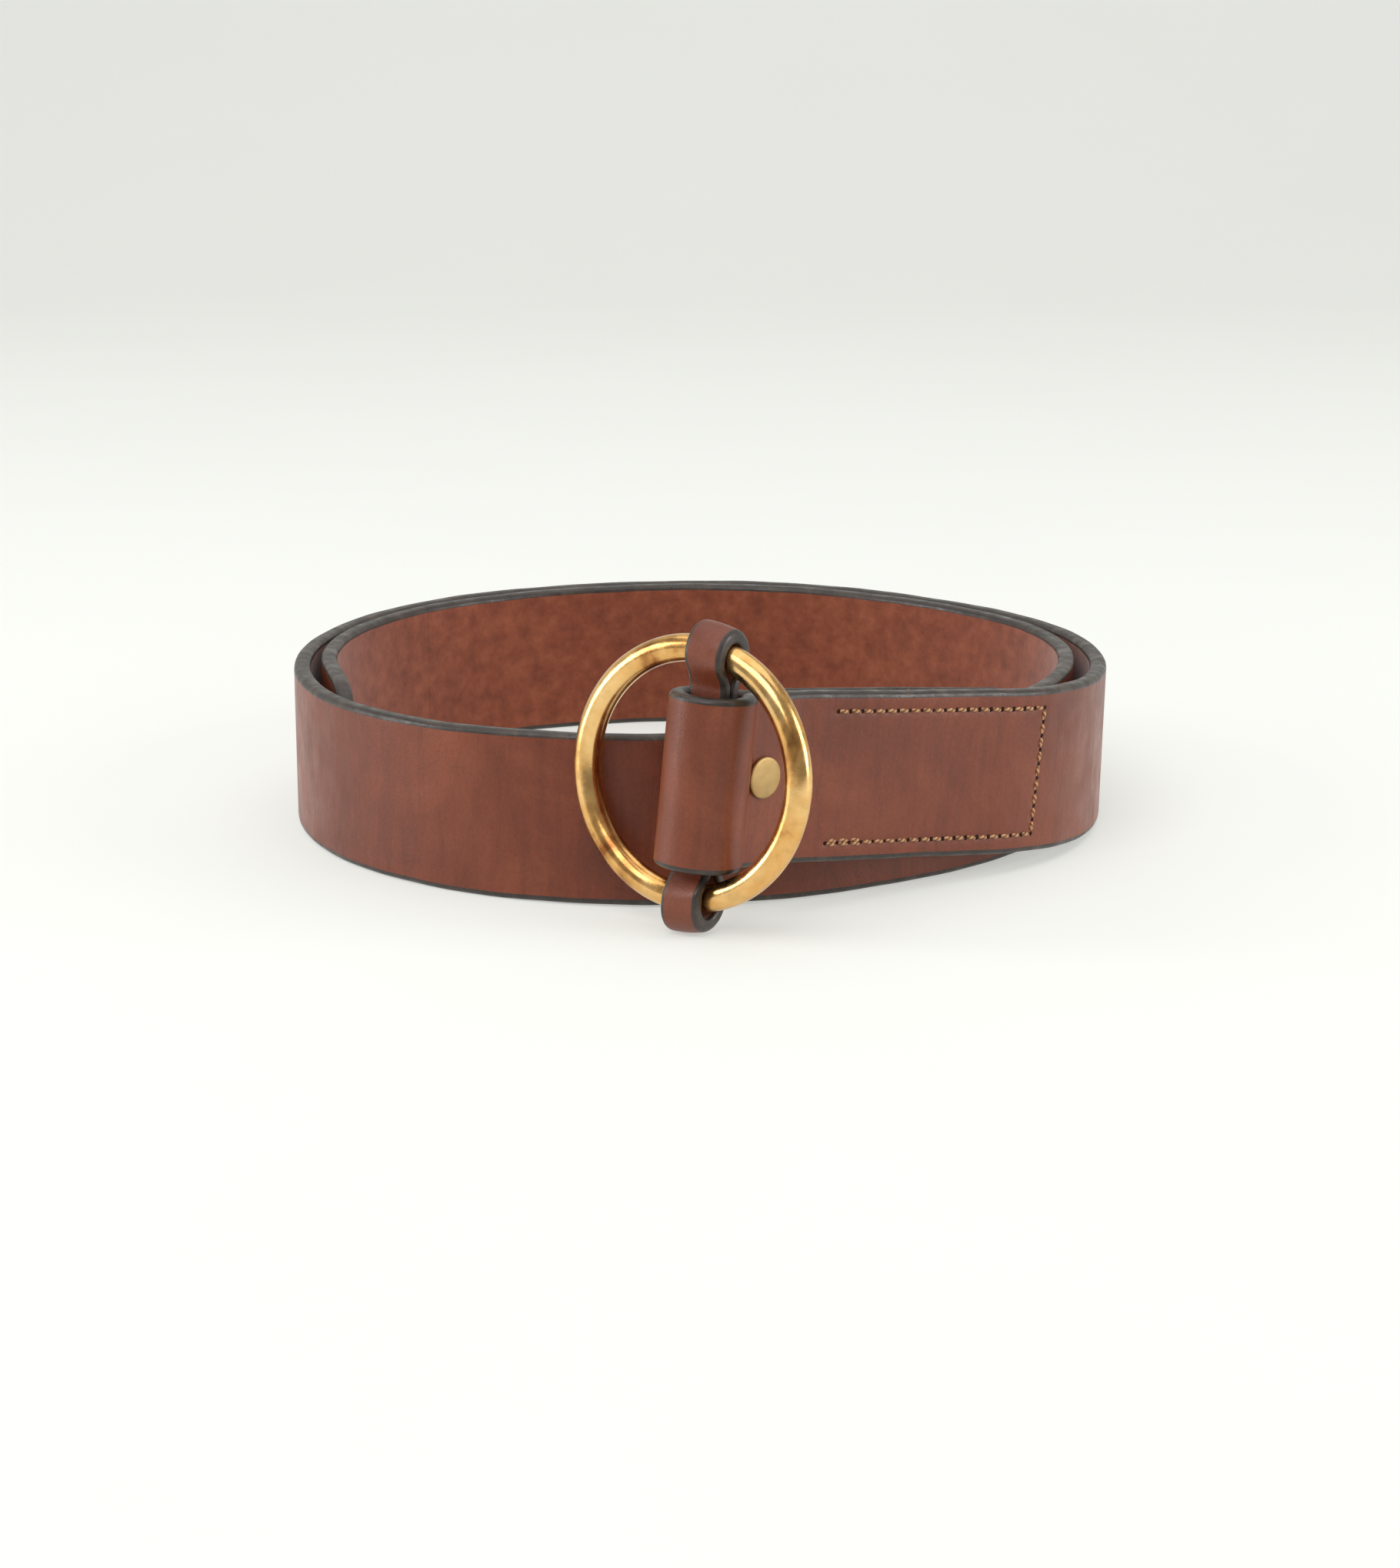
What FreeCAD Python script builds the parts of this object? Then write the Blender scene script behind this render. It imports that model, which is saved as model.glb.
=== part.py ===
import FreeCAD, Part
import os
from math import acos, cos, degrees, exp, pi, radians, sin, sqrt

# A ring-buckle belt of thick bridle leather, coiled in nearly two turns and standing on its edge.
# Millimetres, +Z up. The origin is the centre of the coil's footprint, on the surface it stands on.
# -Y is the front, where the buckle is.
#
# The strap is one piece of leather. It is cut here at two flex lines, so that the buckle end and
# the tail can bend away from the coil.

V = FreeCAD.Vector

# Leather strap
STRAP_WIDTH = 38.0
STRAP_THICKNESS = 4.0
EDGE_BEVEL = 0.8
HALF_WIDTH = STRAP_WIDTH / 2
HALF_THICKNESS = STRAP_THICKNESS / 2

# Flex lines: a round nose turns in a hollow end
FLEX_NOSE_RADIUS = 1.9
FLEX_HOLLOW_RADIUS = 2.6
FLEX_OVERRUN = 1.8      # degrees of the coil drawn past each flex line before it is cut

# Coil, seen from above, in polar form about its centre. Angles run anticlockwise from +X.
COIL_CENTRE = V(0, 15.9, 0)
COIL_RADIUS = 95.2
COIL_OVAL = 1.2
# Bulges as (angle, spread, height), and the inner turn as (angle, distance inward).
BULGES = [(-32, 20, 1.7), (45, 25, -2.8), (140, 25, 1.3), (218, 26, 2.5)]
INNER_TURN = [(232, 0.0), (310, 10.0), (322, 10.0), (395, 4.4), (520, 4.4)]
BUCKLE_FLEX_ANGLE = -31.0
TAIL_FLEX_ANGLE = 512.0
SECTION_STEP = 7.5      # degrees
TANGENT_STEP = 0.05     # degrees

# The strap climbs towards the buckle, and its front stretch leans back
CLIMB = radians(6.5)
LIFT_AT_FLEX = 2.75
LIFT_FADE_ANGLE = 54.0
LIFT_FADE_POWER = 4
# Leans as (angle, spread, degrees that the top leans inward).
LEANS = [(268, 27, 8.5), (0, 35, -1.4)]

# Buckle end: the strap's last stretch, its fold round the link, and the layer that lies back
BEND_RADIUS = 58.0
BEND_TURN = radians(24.7)
PANEL_LENGTH = 53.0
FLARE_LENGTH = 9.0
FLARE_TURN = radians(11.0)
RIVET_AFTER_FLARE = 4.6
RIVET_TO_FOLD = 12.3
FOLD_RADIUS = 7.75
FOLD_HALF_THICKNESS = 1.75
FOLD_OFFSET = 3.24
FOLD_FILLET = 4.0
LAYER_GAP = 0.15
FLEX_TONGUE = 5.0       # length drawn behind the flex line before the nose is cut
BACK_LAYER_END = 25.0
BACK_LAYER_THICKNESS = [(25.0, 0.9), (45.0, 2.2), (78.0, 2.3), (90.0, 2.6)]
OUTLINE_STEP = 3.0
KNOTS_PER_EDGE = 4

# Rivet and burr
RIVET_HEAD_RADIUS = 4.6
RIVET_HEAD_HEIGHT = 0.9
RIVET_SHANK_RADIUS = 1.6
RIVET_HOLE_RADIUS = 1.65
BURR_RADIUS = 3.3
BURR_THICKNESS = 0.9
PEENED_RADIUS = 2.4
PEENED_HEIGHT = 0.7
RIVET_RIM = 0.25
RIVET_RISE = 0.9        # above the middle of the strap's width
RIVET_CLEARANCE = 0.05

# Lockstitch on three sides of the panel
STITCH_LENGTH = 3.27
THREAD_SIDES = 8
THREAD_RADIUS = 0.32
LEG_RADIUS = 0.45
LEG_RISE = 0.35         # how far a leg stands above the middle of the thread that runs into it
STITCH_START = 12.6
STITCH_COUNT_LONG = 18
STITCH_COUNT_ACROSS = 9
STITCH_ROW_TOP = 14.7
THREAD_RISE = 0.15
THREAD_APART = 0.1      # half the space between the two threads where they meet

# Link strap and ring
LINK_WIDTH = 9.2
LINK_THICKNESS = 3.0
LINK_BEVEL = 0.45
LINK_SLIT = 0.3
LINK_STRAIGHT = 19.3
LINK_TO_WIRE = 3.35
LOOP_SHOULDER = 0.6
LOOP_SAG = 1.1          # how far the lower loop hangs below the wire
LINK_RISE = 0.8         # above the middle of the strap's width
LINK_YAW = radians(-33.4)
LINK_STEP = 2.4
SWELL_STEP = 0.6
RING_RADIUS = 27.0
RING_WIRE_RADIUS = 3.0
RING_OFFSET = -3.8

# Tail
TAIL_BEND_LENGTH = 58.7
TAIL_BEND_TURN = radians(41.0)
TAIL_STRAIGHT = 35.5
TAIL_STEP = 6.0
TIP_LENGTH = 19.0
TIP_FULLNESS = 0.6      # an ellipse has 0.5, and more is more pointed
TIP_CUT = 0.15          # the very point is cut off square


def eased(knots, x):
    """A smooth curve through (x, value) knots, flat before the first and after the last."""
    if x <= knots[0][0]:
        return knots[0][1]
    for (x0, y0), (x1, y1) in zip(knots, knots[1:]):
        if x < x1:
            t = (x - x0) / (x1 - x0)
            return y0 + (y1 - y0) * t * t * (3 - 2 * t)
    return knots[-1][1]


def bumps(table, angle):
    """Sum of round bumps (angle, spread, height) at an angle in degrees."""
    total = 0
    for at, spread, height in table:
        away = (angle - at + 180) % 360 - 180
        total += height * exp(-(away / spread) ** 2)
    return total


def spread(first, last, step):
    """Evenly spaced values from first to last, about a step apart."""
    count = max(round(abs(last - first) / step), 1)
    return [first + (last - first) * i / count for i in range(count + 1)]


# ---- The coil ----

def coil_plan(angle):
    """Middle of the leather, seen from above, at an angle of travel in degrees."""
    a = radians(angle)
    radius = COIL_RADIUS + COIL_OVAL * cos(2 * a) + bumps(BULGES, angle) - eased(INNER_TURN, angle)
    return COIL_CENTRE + V(radius * cos(a), radius * sin(a), 0)


def coil_lift(angle):
    """Height of the strap's lower edge above the floor."""
    faded = min(max((angle - BUCKLE_FLEX_ANGLE) / LIFT_FADE_ANGLE, -1), 1)
    return LIFT_AT_FLEX * (1 - faded) ** LIFT_FADE_POWER


def coil_frame(angle):
    """Centre, direction across the width and outward direction of the strap at an angle."""
    before, after = angle - TANGENT_STEP, angle + TANGENT_STEP
    before = coil_plan(before) + V(0, 0, coil_lift(before))
    after = coil_plan(after) + V(0, 0, coil_lift(after))
    along = (after - before).normalize()
    level_out = V(along.y, -along.x, 0).normalize()
    upright = level_out.cross(along)
    lean = radians(bumps(LEANS, angle))
    across = upright * cos(lean) - level_out * sin(lean)
    outward = level_out * cos(lean) + upright * sin(lean)
    height = HALF_WIDTH * across.z + (HALF_THICKNESS - EDGE_BEVEL) * abs(outward.z)
    centre = coil_plan(angle) + V(0, 0, coil_lift(angle) + height)
    return centre, across, outward


def strap_section(centre, across, outward, half_width=HALF_WIDTH, half_thickness=HALF_THICKNESS):
    """Outline of the strap cut square: a rectangle with bevelled corners."""
    w, t = half_width, half_thickness
    b = min(EDGE_BEVEL, w / 2, t / 2)
    right = [(w - b, t), (w, t - b), (w, b - t), (w - b, -t)]
    left = [(-a, n) for a, n in reversed(right)]
    points = [centre + across * a + outward * n for a, n in right + left]
    return Part.makePolygon(points + points[:1])


def upright_cylinder(centre, radius):
    return Part.makeCylinder(radius, 4 * STRAP_WIDTH, V(centre.x, centre.y, -STRAP_WIDTH))


def upright_block(centre, towards, length, width):
    """A tall block that starts at an upright plane through the centre and reaches one way."""
    side = V(-towards.y, towards.x, 0) * (width / 2)
    corner = V(centre.x, centre.y, -STRAP_WIDTH)
    reach = towards * length
    outline = [corner - side, corner + side, corner + side + reach, corner - side + reach]
    return Part.Face(Part.makePolygon(outline + outline[:1])).extrude(V(0, 0, 4 * STRAP_WIDTH))


def heading_at(angle):
    """Level direction of travel along the coil, as a unit vector."""
    return (coil_plan(angle + TANGENT_STEP) - coil_plan(angle - TANGENT_STEP)).normalize()


def make_strap_coil():
    first = BUCKLE_FLEX_ANGLE - FLEX_OVERRUN
    last = TAIL_FLEX_ANGLE + FLEX_OVERRUN
    count = round((last - first) / SECTION_STEP)
    angles = [first + (last - first) * i / count for i in range(count + 1)]
    band = Part.makeLoft([strap_section(*coil_frame(a)) for a in angles], True, False)
    buckle_cut = (BUCKLE_FLEX_ANGLE, -1, 3 * STRAP_THICKNESS)
    tail_cut = (TAIL_FLEX_ANGLE, 1, 2 * FLEX_HOLLOW_RADIUS)
    for angle, way, width in (buckle_cut, tail_cut):
        pivot = coil_plan(angle)
        beyond = upright_block(pivot, heading_at(angle) * way, 2 * STRAP_THICKNESS, width)
        band = band.cut(beyond.fuse(upright_cylinder(pivot, FLEX_HOLLOW_RADIUS)))
    return band


# ---- The tail ----

def tail_frames():
    """Sections of the tail from its flex line to its tip: centre, directions and half width."""
    start = coil_plan(TAIL_FLEX_ANGLE)
    travel = heading_at(TAIL_FLEX_ANGLE)
    side = V(-travel.y, travel.x, 0)
    radius = TAIL_BEND_LENGTH / TAIL_BEND_TURN
    length = TAIL_BEND_LENGTH + TAIL_STRAIGHT
    stations = spread(0, length - TIP_LENGTH, TAIL_STEP)
    tip_parts = 8
    stations += [length - TIP_LENGTH * cos(pi / 2 * i / tip_parts) for i in range(1, tip_parts)]
    stations.append(length - TIP_CUT)
    frames = []
    for s in stations:
        turned = min(s, TAIL_BEND_LENGTH) / radius
        way = travel * cos(turned) + side * sin(turned)
        place = start + travel * (radius * sin(turned)) + side * (radius * (1 - cos(turned)))
        place += way * max(s - TAIL_BEND_LENGTH, 0)
        into_tip = max(s - (length - TIP_LENGTH), 0) / TIP_LENGTH
        half_width = HALF_WIDTH * (1 - into_tip ** 2) ** TIP_FULLNESS
        frames.append((place + V(0, 0, HALF_WIDTH), V(0, 0, 1), V(way.y, -way.x, 0), half_width))
    return frames


def make_strap_tail():
    band = Part.makeLoft([strap_section(c, a, o, w) for c, a, o, w in tail_frames()], True, False)
    pivot = coil_plan(TAIL_FLEX_ANGLE)
    nose_height = STRAP_WIDTH - 2 * EDGE_BEVEL
    nose = Part.makeCylinder(FLEX_NOSE_RADIUS, nose_height, V(pivot.x, pivot.y, EDGE_BEVEL))
    return band.fuse(nose).removeSplitter()


# ---- The buckle end, drawn in its own frame: along the strap, outward, and across it ----

COIL_TO_PANEL = FreeCAD.Rotation(V(0, 0, 1), -degrees(BEND_TURN))
PANEL_TRAVEL = COIL_TO_PANEL.multVec(heading_at(BUCKLE_FLEX_ANGLE))
TO_BUCKLE = (PANEL_TRAVEL * -cos(CLIMB) + V(0, 0, sin(CLIMB))).normalize()
OUT = V(PANEL_TRAVEL.y, -PANEL_TRAVEL.x, 0)
ACROSS = TO_BUCKLE.cross(OUT)
FLEX_POINT = coil_plan(BUCKLE_FLEX_ANGLE) + V(0, 0, LIFT_AT_FLEX + HALF_WIDTH * cos(CLIMB))


def in_place(u, n, w):
    return FLEX_POINT + TO_BUCKLE * u + OUT * n + ACROSS * w


BEND_LENGTH = BEND_RADIUS * BEND_TURN
FLARE_START = BEND_LENGTH + PANEL_LENGTH
FLARE_END = FLARE_START + FLARE_LENGTH
RIVET_AT = FLARE_END + RIVET_AFTER_FLARE
FRONT_FILLET_TURN = acos((FOLD_OFFSET + FOLD_FILLET) / (FOLD_RADIUS + FOLD_FILLET))
MAIN_END = RIVET_AT + RIVET_TO_FOLD - (FOLD_RADIUS + FOLD_FILLET) * sin(FRONT_FILLET_TURN)


def main_layer(s):
    """Middle of the main layer at a distance s from the flex line: u, n and its heading."""
    if s < 0:
        return s * cos(BEND_TURN), s * sin(BEND_TURN), BEND_TURN
    if s < BEND_LENGTH:
        left = BEND_TURN - s / BEND_RADIUS
        u = BEND_RADIUS * (sin(BEND_TURN) - sin(left))
        n = BEND_RADIUS * (cos(left) - cos(BEND_TURN))
        return u, n, left
    u = BEND_RADIUS * sin(BEND_TURN)
    n = BEND_RADIUS * (1 - cos(BEND_TURN))
    if s < FLARE_START:
        return u + s - BEND_LENGTH, n, 0
    u += PANEL_LENGTH
    radius = FLARE_LENGTH / FLARE_TURN
    turned = min(s - FLARE_START, FLARE_LENGTH) / radius
    on = max(s - FLARE_END, 0)
    u += radius * sin(turned) + on * cos(turned)
    n += radius * (1 - cos(turned)) + on * sin(turned)
    return u, n, turned


def beside_main(s, distance):
    """A point beside the main layer's middle, outward where the distance is positive."""
    u, n, heading = main_layer(s)
    return u - distance * sin(heading), n + distance * cos(heading)


def fold_centre():
    u, n = beside_main(RIVET_AT, -FOLD_OFFSET)
    return u + RIVET_TO_FOLD * cos(FLARE_TURN), n + RIVET_TO_FOLD * sin(FLARE_TURN)


def back_layer_offset(s):
    """Distances from the main layer's middle to the two faces of the layer that lies back."""
    near = HALF_THICKNESS + LAYER_GAP
    return near, near + eased(BACK_LAYER_THICKNESS, s)


BACK_MIDDLE = sum(back_layer_offset(RIVET_AT)) / 2 - FOLD_OFFSET
BACK_FILLET_TURN = acos((BACK_MIDDLE + FOLD_FILLET) / (FOLD_RADIUS + FOLD_FILLET))
BACK_START = RIVET_AT + RIVET_TO_FOLD - (FOLD_RADIUS + FOLD_FILLET) * sin(BACK_FILLET_TURN)


def fold_stations():
    """Middle of the leather round the fold: (u, n), outward direction and half thickness."""
    cu, cn = fold_centre()
    reach = FOLD_RADIUS + FOLD_FILLET
    back_half = eased(BACK_LAYER_THICKNESS, RIVET_AT) / 2
    path = []
    steps = 6
    for i in range(1, steps):
        t = i / steps
        a = FRONT_FILLET_TURN * t
        x = -reach * sin(FRONT_FILLET_TURN) + FOLD_FILLET * sin(a)
        y = FOLD_OFFSET + FOLD_FILLET * (1 - cos(a))
        path.append((x, y, pi / 2 + a, HALF_THICKNESS + (FOLD_HALF_THICKNESS - HALF_THICKNESS) * t))
    first = pi / 2 + FRONT_FILLET_TURN
    last = -pi / 2 - BACK_FILLET_TURN
    turns = 30
    for i in range(turns + 1):
        a = first + (last - first) * i / turns
        path.append((FOLD_RADIUS * cos(a), FOLD_RADIUS * sin(a), a, FOLD_HALF_THICKNESS))
    for i in range(1, steps):
        t = i / steps
        a = BACK_FILLET_TURN * (1 - t)
        x = -reach * sin(BACK_FILLET_TURN) + FOLD_FILLET * sin(a)
        y = -BACK_MIDDLE - FOLD_FILLET * (1 - cos(a))
        path.append((x, y, -pi / 2 - a, FOLD_HALF_THICKNESS + (back_half - FOLD_HALF_THICKNESS) * t))
    c, s = cos(FLARE_TURN), sin(FLARE_TURN)
    turned = []
    for x, y, a, half in path:
        a += FLARE_TURN
        turned.append(((cu + x * c - y * s, cn + x * s + y * c), (cos(a), sin(a)), half))
    return turned


def outline_edges(points, height):
    """A smooth curve through (u, n) points at a height, as a chain of short edges."""
    curve = Part.BSplineCurve()
    curve.interpolate([in_place(u, n, height) for u, n in points])
    knots = curve.getKnots()
    joints = knots[:-1:KNOTS_PER_EDGE] + knots[-1:]
    return [curve.toShape(a, b) for a, b in zip(joints, joints[1:])]


def buckle_end_outline(w, bevel):
    """Closed outline of the buckle end's edge at height w, drawn in by a bevel."""
    step = OUTLINE_STEP
    outer = [beside_main(s, HALF_THICKNESS - bevel) for s in spread(-FLEX_TONGUE, MAIN_END, step)]
    bare = spread(-FLEX_TONGUE, BACK_LAYER_END - step, step)
    inner = [beside_main(s, bevel - HALF_THICKNESS) for s in bare]
    inner += [beside_main(s, -HALF_THICKNESS) for s in spread(BACK_LAYER_END, MAIN_END, step)]
    for (u, n), (du, dn), half in fold_stations():
        outer.append((u + du * (half - bevel), n + dn * (half - bevel)))
        inner.append((u - du * half, n - dn * half))
    for s in spread(BACK_START, BACK_LAYER_END, step):
        near, far = back_layer_offset(s)
        outer.append(beside_main(s, min(bevel, (far - near) / 2) - far))
        inner.append(beside_main(s, -near))
    strap_end = Part.makeLine(in_place(*outer[0], w), in_place(*inner[0], w))
    layer_end = Part.makeLine(in_place(*outer[-1], w), in_place(*inner[-1], w))
    edges = outline_edges(outer, w) + [layer_end] + outline_edges(inner, w) + [strap_end]
    return Part.Wire(Part.__sortEdges__(edges))


def rivet_axis():
    """Where the rivet's axis meets the outer face, and the way it points."""
    u, n = beside_main(RIVET_AT, HALF_THICKNESS)
    way = TO_BUCKLE * -sin(FLARE_TURN) + OUT * cos(FLARE_TURN)
    return in_place(u, n, RIVET_RISE), way


def make_strap_buckle_end():
    flat = HALF_WIDTH - EDGE_BEVEL
    heights = [(-HALF_WIDTH, EDGE_BEVEL), (-flat, 0), (flat, 0), (HALF_WIDTH, EDGE_BEVEL)]
    band = Part.makeLoft([buckle_end_outline(w, bevel) for w, bevel in heights], True, True)
    pivot = coil_plan(BUCKLE_FLEX_ANGLE)
    beyond = upright_block(pivot, heading_at(BUCKLE_FLEX_ANGLE), 4 * STRAP_THICKNESS, 4 * STRAP_THICKNESS)
    beyond = beyond.cut(upright_cylinder(pivot, FLEX_NOSE_RADIUS))
    band = band.cut(beyond)
    face, way = rivet_axis()
    back = face - way * back_face_depth()
    room = 3.0
    hole = Part.makeCylinder(RIVET_HOLE_RADIUS, back_face_depth() + 2 * room, back - way * room, way)
    lift = RIVET_CLEARANCE / 2
    head_seat = Part.makeCylinder(RIVET_HEAD_RADIUS + RIVET_CLEARANCE, room, face + way * lift, way)
    burr_seat = Part.makeCylinder(BURR_RADIUS + RIVET_CLEARANCE, room, back - way * lift, way * -1)
    for tool in (hole, head_seat, burr_seat):
        band = band.cut(tool)
    return band


# ---- Rivet and burr ----

def back_face_depth():
    return HALF_THICKNESS + back_layer_offset(RIVET_AT)[1]


def make_rivet():
    face, way = rivet_axis()
    seat = face + way * RIVET_CLEARANCE
    full = RIVET_HEAD_HEIGHT - RIVET_RIM
    head = Part.makeCylinder(RIVET_HEAD_RADIUS, full, seat, way)
    crown_radius = RIVET_HEAD_RADIUS - RIVET_RIM
    crown = Part.makeCone(RIVET_HEAD_RADIUS, crown_radius, RIVET_RIM, seat + way * full, way)
    grip = back_face_depth() + BURR_THICKNESS + 4 * RIVET_CLEARANCE
    shank = Part.makeCylinder(RIVET_SHANK_RADIUS, grip, seat, way * -1)
    end = seat - way * grip
    peened = Part.makeCone(PEENED_RADIUS, RIVET_SHANK_RADIUS, PEENED_HEIGHT, end, way * -1)
    return head.fuse([crown, shank, peened]).removeSplitter()


def make_burr():
    face, way = rivet_axis()
    seat = face - way * (back_face_depth() + 2 * RIVET_CLEARANCE)
    washer = Part.makeCylinder(BURR_RADIUS, BURR_THICKNESS, seat, way * -1)
    hole = Part.makeCylinder(RIVET_HOLE_RADIUS, 3 * BURR_THICKNESS, seat + way * BURR_THICKNESS, way * -1)
    return washer.cut(hole)


# ---- Stitching ----

def stitch_holes():
    """The three-sided row of holes, as (distance along the strap, height across it)."""
    far = STITCH_START + STITCH_COUNT_LONG * STITCH_LENGTH
    across_step = 2 * STITCH_ROW_TOP / STITCH_COUNT_ACROSS
    holes = [(far - i * STITCH_LENGTH, STITCH_ROW_TOP) for i in range(STITCH_COUNT_LONG)]
    holes += [(STITCH_START, STITCH_ROW_TOP - i * across_step) for i in range(STITCH_COUNT_ACROSS)]
    holes += [(STITCH_START + i * STITCH_LENGTH, -STITCH_ROW_TOP) for i in range(STITCH_COUNT_LONG + 1)]
    return holes


def thread_bar(start, end, radius):
    """A straight bar of thread, drawn with flat sides."""
    way = end - start
    side = way.cross(ACROSS if abs(way.dot(ACROSS)) < way.Length / 2 else OUT).normalize() * radius
    corners = []
    for i in range(THREAD_SIDES):
        turn = FreeCAD.Rotation(way, 360 * (i + 0.5) / THREAD_SIDES)
        corners.append(start + turn.multVec(side))
    return Part.Face(Part.makePolygon(corners + corners[:1])).extrude(way)


def make_thread(face_distance, leg_distance):
    """A thread that lies on one face from hole to hole, with a leg down each hole."""
    tops = [in_place(*beside_main(s, face_distance(s)), w) for s, w in stitch_holes()]
    feet = [in_place(*beside_main(s, leg_distance), w) for s, w in stitch_holes()]
    solids = []
    for top, foot in zip(tops, feet):
        down = (foot - top).normalize()
        solids.append(thread_bar(top - down * LEG_RISE, foot, LEG_RADIUS))
    for here, there in zip(tops, tops[1:]):
        solids.append(thread_bar(here, there, THREAD_RADIUS))
    return solids[0].fuse(solids[1:])


def make_needle_thread():
    return make_thread(lambda s: HALF_THICKNESS + THREAD_RISE, THREAD_APART + THREAD_RADIUS)


def back_face(s):
    """Distance from the main layer's middle to whatever face the bobbin thread lies on."""
    if s < BACK_LAYER_END:
        return -HALF_THICKNESS - THREAD_RISE
    return -back_layer_offset(s)[1] - THREAD_RISE


def make_bobbin_thread():
    return make_thread(back_face, -THREAD_APART - THREAD_RADIUS)


# ---- Link strap and ring ----

def link_frame():
    """Middle of the link inside the fold, the direction of its width and the way it faces."""
    u, n = fold_centre()
    level_right = V(cos(LINK_YAW), sin(LINK_YAW), 0)
    right = (level_right - ACROSS * level_right.dot(ACROSS)).normalize()
    return in_place(u, n, LINK_RISE), right, right.cross(ACROSS)


def wire_height(a):
    """Height of the ring's wire above the link's middle, at a place across the link."""
    return sqrt(RING_RADIUS ** 2 - (a - RING_OFFSET) ** 2)


def smooth_edge(points):
    curve = Part.BSplineCurve()
    curve.interpolate(points)
    return curve.toShape()


def link_outline(a, straight_half, loop_radius):
    """Side outline of the link: close layers in the middle, and a round loop at each end."""
    middle, right, front = link_frame()
    top = wire_height(a)
    shoulder = top - LOOP_SHOULDER

    def at(v, m):
        return middle + right * a + ACROSS * v + front * m

    swell = [(LINK_STRAIGHT, straight_half), (shoulder, loop_radius)]
    rise = spread(LINK_STRAIGHT, shoulder, SWELL_STEP)
    edges = []
    for end in (1, -1):
        far_side = [at(end * v, end * eased(swell, v)) for v in rise]
        near_side = [at(end * v, -end * eased(swell, v)) for v in reversed(rise)]
        loop_at = top if end > 0 else top + LOOP_SAG
        loop_start = at(end * loop_at, end * loop_radius)
        loop_top = at(end * (loop_at + loop_radius), 0)
        loop_end = at(end * loop_at, -end * loop_radius)
        edges.append(Part.makeLine(at(-end * LINK_STRAIGHT, end * straight_half), far_side[0]))
        edges.append(smooth_edge(far_side))
        edges.append(Part.makeLine(far_side[-1], loop_start))
        edges.append(Part.Arc(loop_start, loop_top, loop_end).toShape())
        edges.append(Part.makeLine(loop_end, near_side[0]))
        edges.append(smooth_edge(near_side))
    return Part.Wire(edges)


def make_link_strap():
    inner_half = LINK_SLIT / 2
    outer_half = inner_half + LINK_THICKNESS
    outer_loop = LINK_TO_WIRE + LINK_THICKNESS
    edge = LINK_WIDTH / 2
    middle_part = spread(LINK_BEVEL - edge, edge - LINK_BEVEL, LINK_STEP)
    stations = [(-edge, LINK_BEVEL)] + [(a, 0) for a in middle_part] + [(edge, LINK_BEVEL)]
    outlines = [link_outline(a, outer_half - b, outer_loop - b) for a, b in stations]
    outer = Part.makeLoft(outlines, True, True)
    reach = edge + LINK_BEVEL
    through = spread(-reach, reach, LINK_STEP)
    inner = Part.makeLoft([link_outline(a, inner_half, LINK_TO_WIRE) for a in through], True, True)
    return outer.cut(inner)


def ring_centre():
    middle, right, _ = link_frame()
    return middle + right * RING_OFFSET


def make_ring():
    return Part.makeTorus(RING_RADIUS, RING_WIRE_RADIUS, ring_centre(), link_frame()[2])


PARTS = {
    "strap_coil": make_strap_coil,
    "strap_buckle_end": make_strap_buckle_end,
    "strap_tail": make_strap_tail,
    "link_strap": make_link_strap,
    "ring": make_ring,
    "rivet": make_rivet,
    "burr": make_burr,
    "needle_thread": make_needle_thread,
    "bobbin_thread": make_bobbin_thread,
}

os.makedirs("parts", exist_ok=True)
for name, make in PARTS.items():
    make().exportStep("parts/" + name + ".step")
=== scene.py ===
import math
import bpy
import numpy as np
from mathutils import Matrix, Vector


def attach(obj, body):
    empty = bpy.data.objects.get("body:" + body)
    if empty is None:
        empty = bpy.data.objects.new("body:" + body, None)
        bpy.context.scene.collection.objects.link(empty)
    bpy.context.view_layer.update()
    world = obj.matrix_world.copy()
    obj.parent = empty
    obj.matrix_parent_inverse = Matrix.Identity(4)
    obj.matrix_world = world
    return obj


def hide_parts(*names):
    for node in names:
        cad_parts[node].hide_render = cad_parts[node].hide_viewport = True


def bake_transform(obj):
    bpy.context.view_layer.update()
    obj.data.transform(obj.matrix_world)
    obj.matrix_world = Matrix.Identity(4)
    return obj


# A ring-buckle belt of bridle leather, coiled and standing on its edge.
# Shapes are worked out in millimetres, in the CAD frame, and written to the meshes in metres.

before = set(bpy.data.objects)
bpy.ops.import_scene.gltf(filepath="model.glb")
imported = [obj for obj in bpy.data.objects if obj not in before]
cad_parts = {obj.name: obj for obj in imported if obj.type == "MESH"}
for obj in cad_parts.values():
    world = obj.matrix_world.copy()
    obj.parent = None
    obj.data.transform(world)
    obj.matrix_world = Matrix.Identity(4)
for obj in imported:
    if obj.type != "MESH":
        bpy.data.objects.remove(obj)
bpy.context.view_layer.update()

MM = 0.001

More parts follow.
